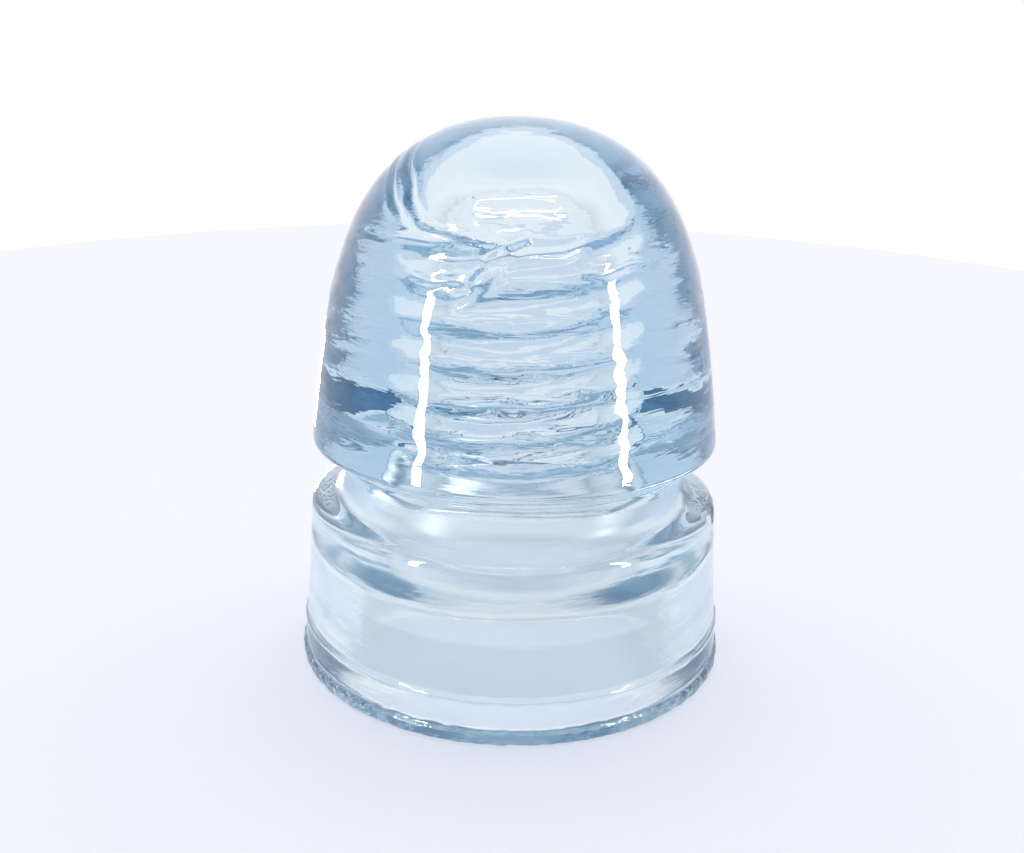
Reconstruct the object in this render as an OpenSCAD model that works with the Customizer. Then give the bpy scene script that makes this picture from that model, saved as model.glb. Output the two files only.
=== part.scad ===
// Single-skirt glass pin insulator: one pressed body with a threaded pinhole for a 1-inch pin.
// Millimetres, +Z up along the pin axis, origin at the centre of the base.

/* [Overall] */
// Diameter over the base rim
base_diameter = 82.55; // [81:0.05:88]
// Height from the base to the top of the crown
overall_height = 101.6; // [98:0.1:110]

/* [Skirt] */
// Height of the thin flared rim at the very base
rim_height = 2; // [1.4:0.1:3]
// How far the rim stands out from the band above it, on the radius
rim_flare = 0.6; // [0.3:0.1:1]
// Height of the moulded line at the top of the base band
band_height = 8; // [6:0.5:12]
// How far the base band stands out from the skirt, on the radius
band_step = 0.3; // [0.1:0.05:0.4]
// Diameter of the skirt at the shoulder
shoulder_diameter = 77.3; // [75:0.1:79]
// Height of the shoulder edge
shoulder_height = 31.7; // [30:0.1:33]
// Rounding of the shoulder edge
shoulder_round = 2; // [0.8:0.1:2.5]

/* [Wire groove] */
// Diameter at the floor of the wire groove
groove_diameter = 63.5; // [60:0.5:67]
// Height where the shoulder meets the groove floor
groove_low = 32.8; // [32:0.1:34]
// Height where the groove floor meets the underside of the lip
groove_high = 39.4; // [38.5:0.1:40.5]
// Rounding of the two corners of the groove floor
groove_round = 2.8; // [1:0.1:3]

/* [Crown] */
// Diameter over the lip
lip_diameter = 76.6; // [74:0.1:79]
// Height of the lip edge
lip_height = 43; // [42:0.1:45]
// Rounding of the lip edge
lip_round = 1.6; // [0.5:0.1:2]
// Share of the lip radius that the crown wall loses by its straight taper
crown_taper = 0.2; // [0.1:0.01:0.3]
// Exponent along the height: larger keeps the wall straight for longer
crown_rise = 4.45; // [3:0.05:6]
// Exponent of the radius: larger squares the top of the crown
crown_fullness = 2.15; // [1.8:0.05:2.6]

/* [Skirt cavity] */
// Diameter of the cavity above its flared mouth
cavity_diameter = 60; // [58:0.5:64]
// How far the mouth flares out at the base, on the radius
mouth_flare = 3.5; // [1:0.5:4]
// Height of the flare
flare_height = 4; // [2:0.5:6]
// Rounding where the flare meets the cavity wall
flare_round = 2; // [0.5:0.5:4]
// Diameter of the cavity where its wall turns inward
step_diameter = 54; // [51:0.5:57]
// Height where the cavity wall turns inward
step_height = 18.5; // [16:0.5:20]
// Rounding of that turn
step_round = 2.5; // [1:0.5:4]
// Diameter of the throat where it leaves the step
throat_diameter = 45; // [42:0.5:47]
// Height where the throat leaves the step
throat_height = 22; // [21:0.5:24]
// Rounding between the step and the throat
throat_round = 4; // [1:0.5:5]

/* [Pinhole] */
// Diameter of the thread crests, the smallest diameter of the pinhole
crest_diameter = 28.6; // [27:0.1:29.5]
// Height of the pinhole mouth, where the throat ends
mouth_height = 40; // [38:0.5:41]
// Rounding of the pinhole mouth
mouth_round = 3; // [1:0.5:4]
// Height of the closed end of the pinhole
tip_height = 87; // [85:0.5:89]
// Rounding of the closed end
tip_round = 9; // [4:0.5:10]
// Rise of the thread in one turn
thread_pitch = 6.35; // [6:0.05:6.5]
// Height where the thread begins
thread_start = 43.5; // [43:0.1:45]
// Half turns of the thread
half_turns = 11; // [7:1:11]
// Depth of the thread groove at the mouth end
depth_at_mouth = 1.6; // [1.2:0.1:2]
// Depth of the thread groove at the closed end
depth_at_tip = 1; // [0.8:0.1:1.5]
// Width of the round thread groove
groove_width = 3; // [2.8:0.1:3.4]

/* [Hidden] */

glass_colour = [0.72, 0.84, 0.92, 0.6];
arc_steps = 8;        // segments in each rounded corner
crown_steps = 40;     // segments along the crown
overcut = 1;          // how far the cavity cutter reaches below the base
joint_angle = 1.5;    // how far each half turn of the thread runs past its ends
thread_clocking = 20; // direction in which the thread begins
rim_round = 0.6;      // rounding of the two outer edges of the rim
band_draft = 0.15;    // how much the base band narrows upward, on the radius
groove_slope = 1.2;   // how far the groove floor stands out at its low corner, on the radius

base_r = base_diameter / 2;
band_r = base_r - rim_flare;
shoulder_r = shoulder_diameter / 2;
groove_r = groove_diameter / 2;
lip_r = lip_diameter / 2;
cavity_r = cavity_diameter / 2;
mouth_r = cavity_r + mouth_flare;
step_r = step_diameter / 2;
throat_r = throat_diameter / 2;
crest_r = crest_diameter / 2;

function unit(v) = v / norm(v);

// Points of the arc that rounds corner b, between a and c, with radius r.
function rounded(a, b, c, r) =
    let (
        to_a = unit(a - b),
        to_c = unit(c - b),
        half = acos(to_a * to_c) / 2,
        centre = b + unit(to_a + to_c) * r / sin(half),
        first = b + to_a * r / tan(half) - centre,
        last = b + to_c * r / tan(half) - centre,
        sweep = 180 - 2 * half
    )
    [for (i = [0:arc_steps])
        centre + (first * sin(sweep * (1 - i / arc_steps)) + last * sin(sweep * i / arc_steps)) / sin(sweep)];

// Outline through corners [r, z, rounding]; a rounding of 0 keeps the corner sharp.
function outline(corners) =
    [for (i = [0:len(corners) - 1])
        let (
            here = [corners[i][0], corners[i][1]],
            before = corners[max(i - 1, 0)],
            after = corners[min(i + 1, len(corners) - 1)]
        )
        each corners[i][2] == 0
            ? [here]
            : rounded([before[0], before[1]], here, [after[0], after[1]], corners[i][2])];

// Crown wall at share u of the way from the lip to the top.
function crown_radius(u) =
    lip_r * (1 - crown_taper * u) * pow(max(1 - pow(u, crown_rise), 0), 1 / crown_fullness);
function crown_point(u) = [crown_radius(u), lip_height + (overall_height - lip_height) * u];

crown_corner = concat(crown_point(sin(90 / crown_steps)), [0]);
outer_corners = [
    [0, 0, 0],
    [base_r, 0, rim_round],
    [base_r, rim_height, rim_round],
    [band_r, rim_height + rim_flare, 0],
    [band_r - band_draft, band_height, 0],
    [band_r - band_draft - band_step, band_height + band_step, 0],
    [shoulder_r, shoulder_height, shoulder_round],
    [groove_r + groove_slope, groove_low, groove_round],
    [groove_r, groove_high, groove_round],
    [lip_r, lip_height, lip_round],
    crown_corner,
];
crown_points = [for (i = [2:crown_steps]) crown_point(sin(90 * i / crown_steps))];

cavity_corners = [
    [0, -overcut, 0],
    [mouth_r, -overcut, 0],
    [mouth_r, 0, 0],
    [cavity_r, flare_height, flare_round],
    [step_r, step_height, step_round],
    [throat_r, throat_height, throat_round],
    [crest_r, mouth_height, mouth_round],
    [crest_r, tip_height, tip_round],
    [0, tip_height, 0],
];

// Cutter that leaves the thread groove in the pinhole wall. Each half turn is a round groove tilted
// by the lead angle, and runs a little past its ends so that it opens into the next one.
module thread_cutter() {
    lead = atan(thread_pitch / 4 / crest_r);
    for (i = [0:half_turns - 1]) {
        share = i / (half_turns - 1);
        depth = depth_at_mouth + (depth_at_tip - depth_at_mouth) * share;
        translate([0, 0, thread_start + thread_pitch / 2 * (i + 0.5)])
            rotate([0, lead, 180 * i + thread_clocking])
                rotate_extrude(angle = 180 + 2 * joint_angle, start = -joint_angle, $fn = 96)
                    translate([crest_r + depth - groove_width / 2, 0])
                        circle(d = groove_width, $fn = 24);
    }
}

// The pressed glass body: skirt, wire groove and crown outside, cavity and pinhole inside.
module glass_body() {
    color(glass_colour)
    difference() {
        rotate_extrude($fn = 96) polygon(concat(outline(outer_corners), crown_points));
        rotate_extrude($fn = 96) polygon(outline(cavity_corners));
        thread_cutter();
    }
}

glass_body();
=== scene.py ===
"""Looks for the glass pin insulator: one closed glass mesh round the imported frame, and a pale studio."""
import math
import random

import bmesh
import bpy
import numpy as np
from mathutils import Matrix, Vector, noise


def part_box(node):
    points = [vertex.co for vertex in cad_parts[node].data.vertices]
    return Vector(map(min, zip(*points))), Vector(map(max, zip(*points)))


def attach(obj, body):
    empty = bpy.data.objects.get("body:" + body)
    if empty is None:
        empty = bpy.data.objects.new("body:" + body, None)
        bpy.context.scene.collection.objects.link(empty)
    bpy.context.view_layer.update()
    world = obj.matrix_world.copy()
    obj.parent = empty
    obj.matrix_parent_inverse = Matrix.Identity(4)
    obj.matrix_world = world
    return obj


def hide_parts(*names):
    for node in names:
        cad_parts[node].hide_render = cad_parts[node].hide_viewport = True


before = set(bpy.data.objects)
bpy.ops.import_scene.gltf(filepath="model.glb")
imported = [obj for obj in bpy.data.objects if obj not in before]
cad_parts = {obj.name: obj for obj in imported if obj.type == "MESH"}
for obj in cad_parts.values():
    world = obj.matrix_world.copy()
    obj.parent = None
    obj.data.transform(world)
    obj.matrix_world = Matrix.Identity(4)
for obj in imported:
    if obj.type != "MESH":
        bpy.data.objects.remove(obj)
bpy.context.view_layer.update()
cad_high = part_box("glass_body")[1]

MM = 0.001

# Sizes taken from the frame
BASE_R = cad_high.x
TOP_Z = cad_high.z

# Outline of the pressed glass, as in the CAD; corners are radius, height and rounding
RIM_H = 2.0 * MM
RIM_FLARE = 0.6 * MM
RIM_ROUND = 0.6 * MM
RIM_FOOT_ROUND = 0.3 * MM
BAND_H = 8.0 * MM
BAND_STEP = 0.3 * MM
BAND_DRAFT = 0.15 * MM
BAND_ROUND = 0.1 * MM
SHOULDER = (38.65 * MM, 31.7 * MM, 2.0 * MM)
GROOVE_LOW = (32.95 * MM, 32.8 * MM, 2.8 * MM)
GROOVE_HIGH = (31.75 * MM, 39.4 * MM, 2.8 * MM)
LIP = (38.3 * MM, 43.0 * MM, 1.6 * MM)
CROWN_TAPER = 0.2
CROWN_RISE = 4.45
CROWN_FULLNESS = 2.15

# Cavity under the skirt: its mouth, then the corners of its wall up to the pinhole
CAVITY_MOUTH_R = 33.5 * MM
CAVITY_FLARE = (30.0 * MM, 4.0 * MM, 2.0 * MM)
CAVITY_STEP = (27.0 * MM, 18.5 * MM, 2.5 * MM)
THROAT = (22.5 * MM, 22.0 * MM, 4.0 * MM)

# Pinhole and its thread
CREST_R = 14.3 * MM
MOUTH_Z = 40.0 * MM
MOUTH_ROUND = 3.0 * MM
TIP_Z = 87.0 * MM
TIP_ROUND = 9.0 * MM
PITCH = 6.35 * MM
THREAD_START = 43.5 * MM
THREAD_TURNS = 5.5
THREAD_DEPTH = (1.9 * MM, 1.2 * MM)
THREAD_WIDTH = 4.4 * MM
THREAD_ROUNDNESS = 0.8
THREAD_RUN_OUT = 0.6 * PITCH
THREAD_CLOCKING = math.radians(20)

# Mesh density: points round the body, and the length of a step along the outline
OUTER_SEGMENTS = 300
INNER_SEGMENTS = 150
SKIRT_STEP = 1.2 * MM
CROWN_STEP = 0.68 * MM
INNER_STEP = 0.8 * MM
COARSE_SHARE = 0.85      # share of the skirt wall that takes the skirt's step
CROWN_LENGTH = 90 * MM   # the crown's outline, nearly
LIP_POINTS = 2           # points of the crown's outline that the rounded lip stands in for
SEAT_WIDTH = 0.3 * MM    # ring of faces that joins the outer surface to the cavity

# Uneven surfaces: size of the features round and along the body in mm, noise seed, height
THREAD_WOBBLE = (9, 7, 3, 0.45 * MM)
THREAD_UNEVEN = (6, 5, 11, 0.2)         # share of the thread's depth
CAVITY_SWELL = (8, 6, 21, 0.12 * MM)
CAVITY_GRAIN = (3, 2, 25, 0.05 * MM)
PLUNGER_MARKS = (16, 9, 29, 0.22 * MM)
CROWN_PATCHES = (24, 18, 41, 1)         # where the crown's ripples are strong
CROWN_RIPPLES = (9, 1.9, 43, 0.15 * MM)
CROWN_GRAIN = (4, 1.3, 45, 0.05 * MM)
CROWN_SWELL = (16, 10, 47, 0.16 * MM)
SKIRT_SWELL = (14, 3, 53, 0.03 * MM)
NECK_RINGS = (22, 1.2, 57, 0.11 * MM)
RIM_NIBBLES = (1.6, 1.2, 61, 0.22 * MM)
LINE_UNEVEN = (3, 50, 71, 0.8)          # share of the mould line's height

RIM_WEAR = 0.14 * MM

# Mould lines: height and half width of the level one, and the same with the azimuths of the upright ones
LEVEL_LINE = (0.14 * MM, 0.3 * MM)
UPRIGHT_SEAM = (0.16 * MM, 0.45 * MM)
SEAM_AZIMUTHS = (86, -94)

# Chips in the shoulder and rim: azimuth in degrees from the front, height, reach and depth in mm
CHIPS = [(74, 32.2, 4.0, 0.6), (0.5, 1.0, 1.2, 0.4), (-31, 0.6, 1.2, 0.3), (158, 1.0, 2.2, 0.5)]

# Cold folds in the crown: route as (azimuth in degrees, height in mm), half width and depth in mm
FOLDS = [
    ([(-90, 97.5), (-72, 96), (-57, 93.5), (-46, 91), (-41, 88.5), (-34, 86), (-26, 84.8), (-15, 84.2),
      (-4, 83.2)], 0.7, 0.7),
    ([(-96, 96), (-76, 94), (-60, 91), (-50, 88), (-40, 85.5)], 0.6, 0.5),
    ([(-66, 82.5), (-48, 82.6), (-28, 83.0), (-6, 83.4), (8, 84.2)], 0.6, 0.4),
    ([(0, 84.4), (-4, 82.6), (-8, 80.1), (-11, 78), (-14, 75.6), (-19, 73.4)], 0.8, 0.8),
    ([(4, 85.2), (-1, 83.4), (-4, 80.6), (-8, 78.2), (-12, 74.8)], 0.6, 0.6),
    ([(-30, 80.5), (-20, 80.0), (-9, 80.6), (2, 81.6), (14, 82.0), (24, 83.6)], 0.6, 0.4),
    ([(-18, 88.4), (-8, 88.1), (4, 88.5), (12, 88.2), (18, 89.4), (20, 92.4)], 1.2, 0.12),
    ([(-34, 78.0), (-26, 76.8), (-18, 77.6), (-10, 76.9)], 0.6, 0.4),
    ([(16, 79.2), (26, 78.6), (36, 79.8), (48, 79.2)], 0.7, 0.4),
]
FOLD_RIDGE = (1.6, 0.4)   # the ridge beside a fold: its place in half widths, and its share of the depth
FOLD_FADE = 0.15          # share of its route over which a fold fades at each end

# Air bubbles in the crown
BUBBLE_COUNT = 46
BUBBLE_SEED = 7
BUBBLE_HEIGHTS = (46, 94)
BUBBLE_SIZES = (0.10, 0.34)

# Glass: index, tint, and finish where it is fire polished, pressed by the plunger or worn
GLASS_IOR = 1.52
GLASS_TINT = (0.42, 0.68, 0.80, 1)
GLASS_DENSITY = 19
POLISH = 0.008
CAVITY_DULLNESS = 0.3
CAVITY_LEAST_DULLNESS = 0.04
GROOVE_WEAR = 0.3
RIM_DULLNESS = 0.1
RIPPLE_HEIGHT = 0.065 * MM
RIPPLE_SCALE = (90, 90, 620)
SMEAR_SCALE = 60
NIBBLE_SCALE = 650
NIBBLE_HEIGHT = 4         # in ripple heights

# The cavity lies inside a cone that clears the outer surface and the wire groove
CONE_R = 37.0 * MM
CONE_SLOPE = -0.28

# Grey in the cavity, part dust film and part painted shade of the shadowed floor that shows through the wall:
# colour, share left above the dull zone, and the heights where it changes
DUST_AND_SHADE_COLOUR = (0.68, 0.71, 0.73, 1)
DUST_AND_SHADE_ABOVE = 0.45
DUST_AND_SHADE_TOP = (13.2 * MM, 14.4 * MM)
DUST_AND_SHADE_FOOT = (3.7 * MM, 4.5 * MM)
WORN_GROOVE = (32.6 * MM, 37.2 * MM)
WORN_RIM_H = 2.4 * MM

# Studio: floor, and the surroundings as the glass sees them from front to back
FLOOR_HALF = (0.444, 0.642)
FLOOR_POINTS = 256
FLOOR_GAP = 0.1 * MM
FLOOR_COLOUR = (0.75, 0.757, 0.80, 1)
FLOOR_GLOW = ((0.94, 0.97, 1.07, 1), 0.39)
FRONT = (0.3, (0.38, 0.43, 0.49, 1))
BACK = (0.8, (1.17, 1.10, 1.10, 1))
SURROUND_STRENGTH = 1.03

# Softboxes: name, azimuth and elevation in degrees, height aimed at, distance, width, height, watts
PANELS = [
    ("strip_left", -48.8, 0, 0.0995, 0.25, 0.022, 0.195, 0.42),
    ("strip_right", 57.5, 0, 0.0995, 0.25, 0.022, 0.195, 0.42),
    ("panel_back_left", -151, 0, 0.021, 0.15, 0.05, 0.030, 0.2),
    ("strip_above", 0, 63.7, 0.089, 0.50, 0.40, 0.018, 0.9),
]

CAMERA_TARGET = (-0.5 * MM, 0, 43.9 * MM)
CAMERA_DISTANCE = 0.220
CAMERA_PITCH = math.radians(17.39)
CAMERA_ROLL = math.radians(1.165)
CAMERA_LENS = 40.3
CAMERA_SENSOR = 36
CAMERA_CLIP = 0.01


# ---------------------------------------------------------------- outline

def rounded_outline(corners, step):
    """Points along straight runs between corners (r, z, rounding), with an arc at each rounded corner."""
    points = []
    for i, (r, z, rounding) in enumerate(corners):
        here = np.array([r, z])
        if rounding == 0 or i in (0, len(corners) - 1):
            points.append(here)
            continue
        to_a = np.array(corners[i - 1][:2]) - here
        to_c = np.array(corners[i + 1][:2]) - here
        to_a /= np.linalg.norm(to_a)
        to_c /= np.linalg.norm(to_c)
        half = math.acos(max(-1, min(1, to_a @ to_c))) / 2
        middle = to_a + to_c
        centre = here + middle / np.linalg.norm(middle) * rounding / math.sin(half)
        first = here + to_a * rounding / math.tan(half) - centre
        last = here + to_c * rounding / math.tan(half) - centre
        sweep = math.pi - 2 * half
        count = max(3, int(rounding * sweep / step) + 1)
        for k in range(count + 1):
            share = k / count
            arm = first * math.sin(sweep * (1 - share)) + last * math.sin(sweep * share)
            points.append(centre + arm / math.sin(sweep))
    return resample(np.array(points), step)


def resample(points, step):
    """The same line with no run longer than step."""
    out = [points[0]]
    for a, b in zip(points[:-1], points[1:]):
        count = max(1, int(math.ceil(np.linalg.norm(b - a) / step)))
        out += [a + (b - a) * k / count for k in range(1, count + 1)]
    return np.array(out)


def crown_points(step):
    """The crown wall: a straight taper times a superellipse."""
    count = int(CROWN_LENGTH / step)
    u = np.sin(np.linspace(0, math.pi / 2, count + 1))
    r = LIP[0] * (1 - CROWN_TAPER * u) * np.maximum(1 - u ** CROWN_RISE, 0) ** (1 / CROWN_FULLNESS)
    return np.stack([r, LIP[1] + (TOP_Z - LIP[1]) * u], 1)


def outer_outline():
    """From the base ring up to the top of the crown: coarse steps on the skirt, fine ones above it."""
    band_r = BASE_R - RIM_FLARE
    skirt_foot = np.array([band_r - BAND_DRAFT - BAND_STEP, BAND_H + BAND_STEP])
    shoulder = np.array(SHOULDER[:2])
    under_shoulder = (*(skirt_foot + (shoulder - skirt_foot) * COARSE_SHARE), 0)
    skirt = [
        (CAVITY_MOUTH_R + SEAT_WIDTH, 0, 0),
        (BASE_R, 0, RIM_ROUND),
        (BASE_R, RIM_H, RIM_ROUND),
        (band_r, RIM_H + RIM_FLARE, RIM_FOOT_ROUND),
        (band_r - BAND_DRAFT, BAND_H, BAND_ROUND),
        (*skirt_foot, BAND_ROUND),
        under_shoulder,
    ]
    crown = crown_points(CROWN_STEP)
    upper = [under_shoulder, SHOULDER, GROOVE_LOW, GROOVE_HIGH, LIP, (*crown[LIP_POINTS], 0)]
    return np.vstack([
        rounded_outline(skirt, SKIRT_STEP)[:-1],
        rounded_outline(upper, CROWN_STEP),
        crown[LIP_POINTS + 1:],
    ])


def inner_outline():
    """From the mouth of the cavity up to the closed end of the pinhole."""
    corners = [
        (CAVITY_MOUTH_R, 0, 0),
        CAVITY_FLARE,
        CAVITY_STEP,
        THROAT,
        (CREST_R, MOUTH_Z, MOUTH_ROUND),
        (CREST_R, TIP_Z, TIP_ROUND),
        (0, TIP_Z, 0),
    ]
    return rounded_outline(corners, INNER_STEP)


OUTER = outer_outline()
CROWN = OUTER[OUTER[:, 1] > LIP[1]]


# ---------------------------------------------------------------- surface detail

def smooth(low, high, x):
    """0 below low, 1 above high, and a smooth rise between them."""
    t = np.clip((x - low) / (high - low), 0, 1)
    return t * t * (3 - 2 * t)


def waves(kind, r, z, angle):
    """Noise on the surface between minus and plus the height of the given kind."""
    around, along, seed, height = kind
    r, z, angle = np.broadcast_arrays(r, z, angle)
    places = zip((r * np.cos(angle) / (around * MM)).flat, (r * np.sin(angle) / (around * MM)).flat,
                 (z / (along * MM) + seed).flat)
    return height * np.array([noise.noise(place) for place in places]).reshape(r.shape)


def thread_relief(r, z, angle):
    """How far the round thread groove stands back from the crest of the pinhole wall."""
    turn = (z + waves(THREAD_WOBBLE, r, z, angle) - THREAD_START) / PITCH
    turn = turn - (angle - THREAD_CLOCKING) / (2 * math.pi)
    offset = (turn - np.round(turn)) * PITCH
    end = THREAD_START + PITCH * THREAD_TURNS
    along = np.clip((z - THREAD_START) / (end - THREAD_START), 0, 1)
    depth = THREAD_DEPTH[0] + (THREAD_DEPTH[1] - THREAD_DEPTH[0]) * along
    depth = depth * (1 + waves(THREAD_UNEVEN, r, z, angle))
    fade = smooth(THREAD_START - THREAD_RUN_OUT, THREAD_START, z) * (1 - smooth(end, end + THREAD_RUN_OUT, z))
    across = np.clip(1 - (offset / (THREAD_WIDTH / 2)) ** 2, 0, 1)
    return depth * across ** THREAD_ROUNDNESS * fade


def inner_surface(outline):
    """Rows of radius and height for the cavity and pinhole, and the angles of their points."""
    angle = np.linspace(0, 2 * math.pi, INNER_SEGMENTS, endpoint=False)[None, :]
    r, z = outline[:, 0][:, None], outline[:, 1][:, None]
    in_pinhole = smooth(MOUTH_Z, MOUTH_Z + 1 * MM, z)
    near_crest = smooth(CREST_R - 4 * MM, CREST_R - 1 * MM, r)
    near_crest = near_crest * (1 - smooth(CREST_R + 1 * MM, CREST_R + 2 * MM, r))
    uneven = waves(CAVITY_SWELL, r, z, angle) + waves(CAVITY_GRAIN, r, z, angle)
    uneven = uneven * smooth(0.5 * MM, 4 * MM, z) * np.clip(r / (6 * MM), 0, 1)
    in_cavity = smooth(3 * MM, 10 * MM, z) * (1 - smooth(30 * MM, 38 * MM, z))
    plunger = waves(PLUNGER_MARKS, r, z, angle) * in_cavity
    r = r + thread_relief(r, z, angle) * in_pinhole * near_crest + uneven + plunger
    return r, np.broadcast_to(z, r.shape), angle[0]


def fold_path(route):
    """Points on the crown wall at each (azimuth, height) of a route."""
    path = []
    for azimuth, height in route:
        a = math.radians(azimuth - 90)
        r = np.interp(height * MM, CROWN[:, 1], CROWN[:, 0])
        path.append(np.array([r * math.cos(a), r * math.sin(a), height * MM]))
    return path


def fold_relief(r, z, angle):
    """Depth of the cold folds, as grooves that follow their routes and fade at both ends."""
    r, z, angle = np.broadcast_arrays(r, z, angle)
    points = np.stack([r * np.cos(angle), r * np.sin(angle), z], -1)
    out = np.zeros(r.shape)
    for route, half_width, depth in FOLDS:
        path = fold_path(route)
        nearest = np.full(r.shape, 1.0)
        where = np.zeros(r.shape)
        for i, (a, b) in enumerate(zip(path[:-1], path[1:])):
            run = b - a
            t = np.clip(((points - a) @ run) / (run @ run), 0, 1)
            gap = np.linalg.norm(points - a - t[..., None] * run, axis=-1)
            closer = gap < nearest
            nearest = np.where(closer, gap, nearest)
            where = np.where(closer, (i + t) / (len(path) - 1), where)
        ends = smooth(0, FOLD_FADE, where) * (1 - smooth(1 - FOLD_FADE, 1, where))
        across = nearest / (half_width * MM)
        ridge = FOLD_RIDGE[1] * np.exp(-(across - FOLD_RIDGE[0]) ** 2)
        out += depth * MM * ends * (ridge - np.exp(-across ** 2))
    return out


def chip_relief(r, z, angle):
    """Depth of the chips, as shallow scoops."""
    out = 0
    for azimuth, height, reach, depth in CHIPS:
        a = math.radians(azimuth - 90)
        flat = (r * np.cos(angle) - r * math.cos(a)) ** 2 + (r * np.sin(angle) - r * math.sin(a)) ** 2
        share = np.sqrt(flat + (z - height * MM) ** 2) / (reach * MM)
        out = out - depth * MM * np.clip(1 - share ** 2, 0, 1) ** 0.7
    return out


def seam_relief(r, z, angle):
    """Fine raised lines where the mould halves and its base plate met."""
    height, half_width = LEVEL_LINE
    level = height * np.exp(-((z - BAND_H - BAND_STEP / 2) / half_width) ** 2)
    level = level * (1 + waves(LINE_UNEVEN, r, z, angle))
    height, half_width = UPRIGHT_SEAM
    upright = 0
    for azimuth in SEAM_AZIMUTHS:
        turn = angle - math.radians(azimuth - 90)
        across = r * np.arctan2(np.sin(turn), np.cos(turn))
        upright = upright + height * np.exp(-(across / half_width) ** 2)
    return level + upright * (1 - smooth(90 * MM, 97 * MM, z)) * smooth(0.5 * MM, 3 * MM, z)


def outer_surface(outline):
    """Rows of radius and height for the outside, and the angles of their points."""
    angle = np.linspace(0, 2 * math.pi, OUTER_SEGMENTS, endpoint=False)[None, :]
    r, z = outline[:, 0][:, None], outline[:, 1][:, None]
    on_crown = smooth(LIP[1] + 1 * MM, LIP[1] + 5 * MM, z) * np.clip(r / (8 * MM), 0, 1)
    below_top = 1 - smooth(78 * MM, 92 * MM, z)
    patchy = 0.3 + 0.7 * smooth(-0.15, 0.35, waves(CROWN_PATCHES, r, z, angle))
    ripples = waves(CROWN_RIPPLES, r, z, angle) * patchy + waves(CROWN_GRAIN, r, z, angle)
    skin = on_crown * (ripples * below_top + waves(CROWN_SWELL, r, z, angle))
    skirt = (1 - on_crown) * waves(SKIRT_SWELL, r, z, angle) * smooth(1 * MM, 4 * MM, z)
    on_neck = smooth(32.5 * MM, 33.5 * MM, z) * (1 - smooth(42 * MM, 44 * MM, z))
    neck = waves(NECK_RINGS, r, z, angle) * on_neck
    at_rim = (1 - smooth(2.0 * MM, 3.2 * MM, z)) * smooth(BASE_R - 2.5 * MM, BASE_R - 0.5 * MM, r)
    rim = at_rim * (waves(RIM_NIBBLES, r, z, angle) - RIM_WEAR)
    marks = fold_relief(r, z, angle) + chip_relief(r, z, angle) + seam_relief(r, z, angle)
    r = r + skin + skirt + neck + rim + marks
    return np.minimum(r, BASE_R), np.broadcast_to(z, r.shape), angle[0]


# ---------------------------------------------------------------- mesh

def bubble_shells():
    """Small air bubbles inside the glass: closed shells that face inward."""
    ball = bmesh.new()
    bmesh.ops.create_icosphere(ball, subdivisions=1, radius=1)
    ball_verts = [v.co.copy() for v in ball.verts]
    ball_faces = [tuple(v.index for v in reversed(face.verts)) for face in ball.faces]
    ball.free()
    rng = random.Random(BUBBLE_SEED)
    for _ in range(BUBBLE_COUNT):
        z = rng.uniform(*BUBBLE_HEIGHTS) * MM
        wall = float(np.interp(z, CROWN[:, 1], CROWN[:, 0]))
        reach = rng.uniform(min(CREST_R + 4.5 * MM, 0.7 * wall), wall - 2 * MM)
        a = rng.uniform(0, 2 * math.pi)
        size = rng.uniform(*BUBBLE_SIZES) * MM
        stretch = Vector((size, size * rng.uniform(0.7, 1), size * rng.uniform(0.6, 1)))
        centre = Vector((reach * math.cos(a), reach * math.sin(a), z))
        yield [tuple(centre + v * stretch) for v in ball_verts], ball_faces


class LatheMesh:
    """Collects the points and faces of one closed mesh."""

    def __init__(self):
        self.verts, self.faces = [], []

    def add_skin(self, r, z, angle, outward):
        """Rows of points closed by a pole at the last row. Returns the index of the first point."""
        start, rows, count = len(self.verts), *r.shape
        for i in range(rows - 1):
            for j in range(count):
                self.verts.append((r[i, j] * math.cos(angle[j]), r[i, j] * math.sin(angle[j]), z[i, j]))
        pole = len(self.verts)
        self.verts.append((0, 0, z[-1, 0]))
        for i in range(rows - 2):
            a, b = start + i * count, start + (i + 1) * count
            for j in range(count):
                k = (j + 1) % count
                self.add_face((a + j, a + k, b + k, b + j), outward)
        last = start + (rows - 2) * count
        for j in range(count):
            self.add_face((last + j, last + (j + 1) % count, pole), outward)
        return start

    def add_face(self, ids, outward):
        self.faces.append(ids if outward else ids[::-1])

    def add_seat(self, outer, inner):
        """The flat ring at the base, between the first rows of the two skins."""
        per = OUTER_SEGMENTS // INNER_SEGMENTS
        for j in range(INNER_SEGMENTS):
            a, b = inner + j, inner + (j + 1) % INNER_SEGMENTS
            edge = [outer + (j * per + k) % OUTER_SEGMENTS for k in range(per + 1)]
            self.faces.append((a, b, *reversed(edge)))

    def add_shell(self, verts, faces):
        first = len(self.verts)
        self.verts += verts
        self.faces += [tuple(first + i for i in face) for face in faces]


def glass_mesh():
    """The outer surface from the base up to the crown, the inner one up to the tip, and the bubbles."""
    lathe = LatheMesh()
    outer = lathe.add_skin(*outer_surface(OUTER), True)
    inner = lathe.add_skin(*inner_surface(inner_outline()), False)
    lathe.add_seat(outer, inner)
    for verts, faces in bubble_shells():
        lathe.add_shell(verts, faces)
    mesh = bpy.data.meshes.new("pressed_glass")
    mesh.from_pydata(lathe.verts, [], lathe.faces)
    mesh.validate()
    mesh.shade_smooth()
    return mesh


# ---------------------------------------------------------------- node helpers

def add_node(tree, kind, inputs=None, **settings):
    """A node with settings, and with a value or a link for each input named."""
    node = tree.nodes.new(kind)
    for name, value in settings.items():
        setattr(node, name, value)
    for name, value in (inputs or {}).items():
        if isinstance(value, bpy.types.NodeSocket):
            tree.links.new(value, node.inputs[name])
        else:
            node.inputs[name].default_value = value
    return node


def math_node(tree, operation, *values):
    return add_node(tree, "ShaderNodeMath", dict(enumerate(values)), operation=operation).outputs[0]


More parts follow.
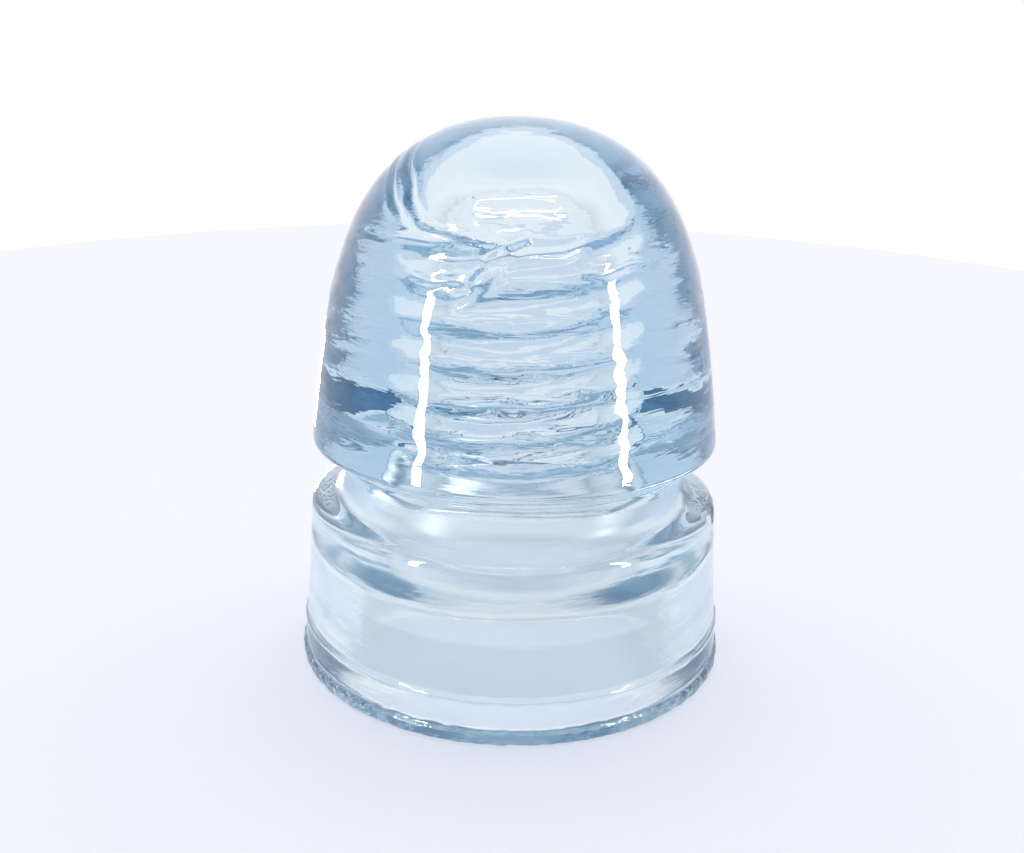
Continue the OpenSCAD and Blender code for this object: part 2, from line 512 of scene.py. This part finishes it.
def smooth_node(tree, value, low, high, start=0, end=1):
    """Goes smoothly from start to end as value goes from low to high."""
    inputs = {"Value": value, "From Min": low, "From Max": high, "To Min": start, "To Max": end}
    return add_node(tree, "ShaderNodeMapRange", inputs, interpolation_type="SMOOTHSTEP").outputs["Result"]


# ---------------------------------------------------------------- material

def dust_and_painted_shade_colour(tree, height, in_cavity):
    """A dust film and painted shade darken the cavity, most of all near its mouth."""
    near_mouth = smooth_node(tree, height, *DUST_AND_SHADE_TOP, 1, DUST_AND_SHADE_ABOVE)
    above_base = smooth_node(tree, height, *DUST_AND_SHADE_FOOT)
    dusted_and_shaded = math_node(tree, "MULTIPLY", math_node(tree, "MULTIPLY", in_cavity, near_mouth), above_base)
    dust_and_shade_mix = add_node(tree, "ShaderNodeMix", {"Factor": dusted_and_shaded}, data_type="RGBA")
    clear, dull = (socket for socket in dust_and_shade_mix.inputs if socket.type == "RGBA")
    clear.default_value = (1, 1, 1, 1)
    dull.default_value = DUST_AND_SHADE_COLOUR
    return next(socket for socket in dust_and_shade_mix.outputs if socket.type == "RGBA")


def glass_roughness(tree, place, height, in_cavity, outside, at_rim):
    """Polished, but dull in the cavity and worn at the rim and at the foot of the wire groove."""
    smears = add_node(tree, "ShaderNodeTexNoise", {"Vector": place, "Scale": SMEAR_SCALE, "Detail": 3})
    dull = math_node(tree, "MULTIPLY_ADD", smears.outputs["Fac"], CAVITY_DULLNESS, CAVITY_LEAST_DULLNESS)
    rough = math_node(tree, "MULTIPLY_ADD", in_cavity, dull, POLISH)
    in_groove = math_node(tree, "MULTIPLY", math_node(tree, "GREATER_THAN", height, WORN_GROOVE[0]),
                          math_node(tree, "LESS_THAN", height, WORN_GROOVE[1]))
    wear = math_node(tree, "ADD", math_node(tree, "MULTIPLY", in_groove, GROOVE_WEAR),
                     math_node(tree, "MULTIPLY", at_rim, RIM_DULLNESS))
    return math_node(tree, "ADD", rough, math_node(tree, "MULTIPLY", outside, wear))


def glass_bump(tree, place, outside, at_rim):
    """Fine ripples, long around the body and short along it, and fine nibbling along the rim."""
    stretch = add_node(tree, "ShaderNodeMapping", {"Vector": place, "Scale": RIPPLE_SCALE})
    ripples = add_node(tree, "ShaderNodeTexNoise",
                       {"Vector": stretch.outputs[0], "Scale": 1, "Detail": 2, "Distortion": 0.6})
    nibbles = add_node(tree, "ShaderNodeTexNoise", {"Vector": place, "Scale": NIBBLE_SCALE, "Detail": 2})
    rim_only = math_node(tree, "MULTIPLY", math_node(tree, "MULTIPLY", at_rim, outside), NIBBLE_HEIGHT)
    height = math_node(tree, "ADD", ripples.outputs["Fac"],
                       math_node(tree, "MULTIPLY", rim_only, nibbles.outputs["Fac"]))
    inputs = {"Height": height, "Strength": 1, "Distance": RIPPLE_HEIGHT}
    return add_node(tree, "ShaderNodeBump", inputs).outputs[0]


def glass_material():
    """Clear glass: fire-polished outside and in the pinhole, duller where the plunger pressed the skirt."""
    material = bpy.data.materials.new("ice_blue_glass")
    material.use_nodes = True
    tree = material.node_tree
    tree.nodes.clear()

    place = add_node(tree, "ShaderNodeTexCoord").outputs["Object"]
    height = add_node(tree, "ShaderNodeSeparateXYZ", {0: place}).outputs["Z"]
    flat = add_node(tree, "ShaderNodeVectorMath", {0: place, 1: (1, 1, 0)}, operation="MULTIPLY")
    radius = add_node(tree, "ShaderNodeVectorMath", {0: flat.outputs[0]}, operation="LENGTH").outputs["Value"]
    cone = math_node(tree, "MULTIPLY_ADD", height, CONE_SLOPE, CONE_R)
    in_cavity = math_node(tree, "MULTIPLY", math_node(tree, "LESS_THAN", radius, cone),
                          math_node(tree, "LESS_THAN", height, MOUTH_Z))
    outside = math_node(tree, "GREATER_THAN", radius, cone)
    at_rim = math_node(tree, "LESS_THAN", height, WORN_RIM_H)

    shader = add_node(tree, "ShaderNodeBsdfPrincipled", {
        # the base colour greys the cavity: part a dust film, part painted shade of the shadowed floor seen
        # through the wall
        "Base Color": dust_and_painted_shade_colour(tree, height, in_cavity),
        "IOR": GLASS_IOR,
        "Transmission Weight": 1,
        "Roughness": glass_roughness(tree, place, height, in_cavity, outside, at_rim),
        "Normal": glass_bump(tree, place, outside, at_rim),
    })
    tint = add_node(tree, "ShaderNodeVolumeAbsorption", {"Color": GLASS_TINT, "Density": GLASS_DENSITY})
    add_node(tree, "ShaderNodeOutputMaterial", {"Surface": shader.outputs[0], "Volume": tint.outputs[0]})
    return material


# ---------------------------------------------------------------- studio

def floor_material():
    material = bpy.data.materials.new("pale_turntable")
    material.use_nodes = True
    shader = material.node_tree.nodes["Principled BSDF"]
    shader.inputs["Base Color"].default_value = FLOOR_COLOUR
    shader.inputs["Roughness"].default_value = 0.9
    shader.inputs["Specular IOR Level"].default_value = 0
    glow, strength = FLOOR_GLOW
    shader.inputs["Emission Color"].default_value = glow
    shader.inputs["Emission Strength"].default_value = strength
    return material


def add_floor():
    """An oval pale table, just below the base."""
    verts = []
    for k in range(FLOOR_POINTS):
        a = 2 * math.pi * k / FLOOR_POINTS
        verts.append((FLOOR_HALF[0] * math.cos(a), FLOOR_HALF[1] * math.sin(a), -FLOOR_GAP))
    mesh = bpy.data.meshes.new("turntable")
    mesh.from_pydata(verts, [], [tuple(range(FLOOR_POINTS))])
    floor = bpy.data.objects.new("turntable", mesh)
    bpy.context.scene.collection.objects.link(floor)
    floor.data.materials.append(floor_material())


def add_world():
    """White behind the object; the glass sees a soft ramp from a dim front to a bright back."""
    world = bpy.data.worlds.new("studio")
    bpy.context.scene.world = world
    world.use_nodes = True
    tree = world.node_tree
    tree.nodes.clear()
    toward = add_node(tree, "ShaderNodeTexCoord").outputs["Generated"]
    depth = add_node(tree, "ShaderNodeSeparateXYZ", {0: toward}).outputs["Y"]
    ramp = add_node(tree, "ShaderNodeValToRGB", {"Fac": math_node(tree, "MULTIPLY_ADD", depth, 0.5, 0.5)})
    for element, (position, colour) in zip(ramp.color_ramp.elements, (FRONT, BACK)):
        element.position = position
        element.color = colour
    around = add_node(tree, "ShaderNodeBackground",
                      {"Color": ramp.outputs["Color"], "Strength": SURROUND_STRENGTH})
    seen = add_node(tree, "ShaderNodeBackground", {"Color": (1, 1, 1, 1)})
    is_camera = add_node(tree, "ShaderNodeLightPath").outputs["Is Camera Ray"]
    mix = add_node(tree, "ShaderNodeMixShader", {0: is_camera, 1: around.outputs[0], 2: seen.outputs[0]})
    add_node(tree, "ShaderNodeOutputWorld", {"Surface": mix.outputs[0]})


def add_panel(name, azimuth, elevation, aim_height, distance, width, height, watts):
    """A softbox that faces a point on the axis and shows only as a reflection in the glass."""
    light = bpy.data.lights.new(name, "AREA")
    light.shape = "RECTANGLE"
    light.size, light.size_y = width, height
    light.energy = watts
    panel = bpy.data.objects.new(name, light)
    a, e = math.radians(azimuth), math.radians(elevation)
    away = Vector((math.sin(a) * math.cos(e), -math.cos(a) * math.cos(e), math.sin(e)))
    panel.location = away * distance + Vector((0, 0, aim_height))
    panel.rotation_mode = "QUATERNION"
    panel.rotation_quaternion = away.to_track_quat("Z", "Y")
    panel.visible_camera = False
    panel.visible_diffuse = False
    panel.visible_transmission = False
    bpy.context.scene.collection.objects.link(panel)


def add_camera():
    """The photograph's view: from in front and a little above, with a slight roll."""
    camera = bpy.data.objects.new("camera", bpy.data.cameras.new("camera"))
    camera.data.lens = CAMERA_LENS
    camera.data.sensor_width = CAMERA_SENSOR
    camera.data.clip_start = CAMERA_CLIP
    ahead = Vector((0, math.cos(CAMERA_PITCH), -math.sin(CAMERA_PITCH)))
    camera.location = Vector(CAMERA_TARGET) - ahead * CAMERA_DISTANCE
    aim = ahead.to_track_quat("-Z", "Y").to_matrix().to_4x4()
    camera.rotation_mode = "QUATERNION"
    camera.rotation_quaternion = (aim @ Matrix.Rotation(CAMERA_ROLL, 4, "Z")).to_quaternion()
    bpy.context.scene.collection.objects.link(camera)
    bpy.context.scene.camera = camera


body = bpy.data.objects.new("insulator_glass", glass_mesh())
bpy.context.scene.collection.objects.link(body)
body.data.materials.append(glass_material())
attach(body, "root")
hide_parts("glass_body")

add_floor()
add_world()
for panel in PANELS:
    add_panel(*panel)
add_camera()

scene = bpy.context.scene
scene.view_settings.view_transform = "Standard"
scene.cycles.max_bounces = 32
scene.cycles.transmission_bounces = 32
scene.cycles.glossy_bounces = 16
